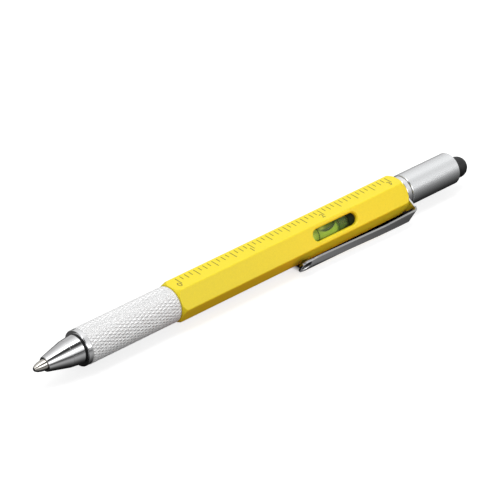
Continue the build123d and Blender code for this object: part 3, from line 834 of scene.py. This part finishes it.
def stage_material():
    """Pale floor: white to the eye, with painted shadow close to the pen in what the metal reflects, and
    a warm bounce on its sides.

    The strip of floor seen between the clip and the barrel is painted black as shadow.
    """
    mat = bpy.data.materials.new("pale_floor")
    mat.use_nodes = True
    tree = mat.node_tree
    tree.nodes.clear()
    out = tree.nodes.new("ShaderNodeOutputMaterial")
    add = tree.nodes.new("ShaderNodeAddShader")
    diffuse = tree.nodes.new("ShaderNodeBsdfDiffuse")
    glow = tree.nodes.new("ShaderNodeEmission")
    path = tree.nodes.new("ShaderNodeLightPath")
    coords = tree.nodes.new("ShaderNodeTexCoord")
    x, side = parts(tree, coords.outputs["Object"])[:2]

    def along(low, high, *ends):
        return between(tree, x, low * MM, high * MM, *ends)

    def across(low, high, *ends):
        return between(tree, side, low * MM, high * MM, *ends)

    # What the metal reflects of the floor is painted shadow: dark near the pen, brighter further off.
    apart = between(tree, math_node(tree, "ABSOLUTE", side), 0.0, METAL_SPAN * MM)
    near_side, far_side, by_cap = (ramp(tree, apart, grey_stops(stops, METAL_SPAN))
                                   for stops in (METAL_NEAR, METAL_FAR, METAL_BY_CAP))
    away = mixed(tree, across(-1, 1), near_side, far_side)
    away = mixed(tree, along(42, 52), away, by_cap)
    # Painted reflection level for the floor under the clip, darker towards the rear.
    under_clip = product(tree, along(-2, 1), along(44, 47, 1.0, 0.0), along(0, 42, 0.24, 0.075),
                         across(-5.6, -5.2, 1.0, 0.0))
    in_metal = math_node(tree, "MAXIMUM", away, under_clip)
    seen = math_node(tree, "MAXIMUM", path.outputs["Is Camera Ray"], path.outputs["Is Transmission Ray"])

    # Painted shadow: the floor seen between the clip and the barrel turns black.
    painted_shadow_strip = product(tree, along(0, 2), along(47.2, 48, 1.0, 0.0), across(-1.0, -0.4, 1.0, 0.0))
    clip_edge = total(tree, along(0, 29, 4.7 * MM, 5.05 * MM), along(29, 37.5, 0.0, 0.5 * MM),
                      along(40.5, 46.7, 0.0, -4.1 * MM))
    painted_shadow_strip = product(tree, painted_shadow_strip, between(tree, total(tree, side, clip_edge), 0.0, 0.2 * MM))

    glow_seen = product(tree, seen, between(tree, painted_shadow_strip, 0.0, 1.0, FLOOR_GLOW, 0.0))
    glow_metal = product(tree, path.outputs["Is Glossy Ray"], in_metal)
    tree.links.new(total(tree, glow_seen, glow_metal), glow.inputs["Strength"])
    plain = ramp(tree, math_node(tree, "MAXIMUM", path.outputs["Is Glossy Ray"], painted_shadow_strip), [
        (0.0, (FLOOR_GREY,) * 3), (1.0, (0, 0, 0))])
    bounce = ramp(tree, along(-60, 60), [
        (0.09, PLAIN_BOUNCE), (0.15, FLOOR_BOUNCE), (0.46, FLOOR_BOUNCE), (0.54, CLIP_BOUNCE),
        (0.86, CLIP_BOUNCE), (0.90, PLAIN_BOUNCE)])
    bounce = mixed(tree, across(0.5, 4), bounce, (*PLAIN_BOUNCE, 1.0))
    tree.links.new(mixed(tree, path.outputs["Is Diffuse Ray"], plain, bounce), diffuse.inputs["Color"])
    tree.links.new(diffuse.outputs[0], add.inputs[0])
    tree.links.new(glow.outputs[0], add.inputs[1])
    tree.links.new(add.outputs[0], out.inputs["Surface"])
    return mat


def lay_floor():
    """Wide square just under the pen."""
    z = cad_box[0][2] - FLOOR_GAP
    corners = [(-FLOOR_REACH, -FLOOR_REACH, z), (FLOOR_REACH, -FLOOR_REACH, z),
               (FLOOR_REACH, FLOOR_REACH, z), (-FLOOR_REACH, FLOOR_REACH, z)]
    mesh = bpy.data.meshes.new("floor")
    mesh.from_pydata(corners, [], [(0, 1, 2, 3)])
    mesh.materials.append(stage_material())
    obj = link_object("floor", mesh)


lay_floor()


def studio_world():
    """Light tent round the pen's long axis, white to the camera."""
    world = bpy.data.worlds.new("studio")
    bpy.context.scene.world = world
    world.use_nodes = True
    tree = world.node_tree
    tree.nodes.clear()
    out = tree.nodes.new("ShaderNodeOutputWorld")
    back = tree.nodes.new("ShaderNodeBackground")
    coords = tree.nodes.new("ShaderNodeTexCoord")
    x, y, z = parts(tree, coords.outputs["Generated"])
    turn = between(tree, math_node(tree, "ARCTAN2", z, product(tree, y, -1.0)), 0.0, math.pi)
    front, rear = (ramp(tree, turn, grey_stops(stops, TENT_SPAN)) for stops in (TENT_FRONT, TENT_REAR))
    levels = mixed(tree, between(tree, x, 0.40, 0.54), front, rear)
    path = tree.nodes.new("ShaderNodeLightPath")
    color = mixed(tree, path.outputs["Is Camera Ray"], levels, (1, 1, 1, 1))
    tree.links.new(color, back.inputs["Color"])
    tree.links.new(back.outputs["Background"], out.inputs["Surface"])


studio_world()


def area_light(name, place, size, power):
    """Soft light at a place in millimetres, turned to the pen, its long side along the pen."""
    data = bpy.data.lights.new(name, "AREA")
    data.shape = "RECTANGLE"
    data.size = size[0] * MM
    data.size_y = size[1] * MM
    data.energy = power
    obj = link_object(name, data)
    towards = (Vector(place) - Vector((0, 0, AXIS_Z))).normalized()
    along = (Vector((1, 0, 0)) - towards * towards.x).normalized()
    turn = Matrix((along, towards.cross(along), towards)).transposed().to_4x4()
    obj.matrix_world = Matrix.Translation(Vector(place) * MM) @ turn


area_light("top", (0, 10, 900), (800, 260), 2.4)
area_light("front", (60, -760, 490), (700, 160), 0.9)
area_light("card", (120, -234, 92), (130, 60), 0.05)


def photo_camera():
    """Camera at the photograph's viewing angle, from the fit to the rule and the outlines."""
    azimuth = math.radians(-42.619)
    elevation = math.radians(31.588)
    roll = math.radians(0.003)
    distance = 767.968
    focal_px = 2885.0
    centre_x = 287.830
    centre_y = 246.30
    sensor = 36.0
    back_dir = Vector((math.sin(azimuth) * math.cos(elevation),
                       -math.cos(azimuth) * math.cos(elevation), math.sin(elevation)))
    right = Vector((math.cos(azimuth), math.sin(azimuth), 0))
    up = back_dir.cross(right)
    right_r = right * math.cos(roll) + up * math.sin(roll)
    up_r = -right * math.sin(roll) + up * math.cos(roll)
    shift_x = (centre_x - PICTURE / 2) * distance / focal_px
    shift_y = -(centre_y - PICTURE / 2) * distance / focal_px
    place = Vector((0, 0, AXIS_Z)) - right_r * shift_x - up_r * shift_y + back_dir * distance
    data = bpy.data.cameras.new("camera")
    data.sensor_fit = "HORIZONTAL"
    data.sensor_width = sensor
    data.lens = sensor * focal_px / PICTURE
    data.clip_start = 0.01
    data.clip_end = 20.0
    obj = link_object("camera", data)
    rotation = Matrix((right_r, up_r, back_dir)).transposed().to_4x4()
    obj.matrix_world = Matrix.Translation(place * MM) @ rotation
    bpy.context.scene.camera = obj


photo_camera()
bpy.context.scene.view_settings.view_transform = "Standard"
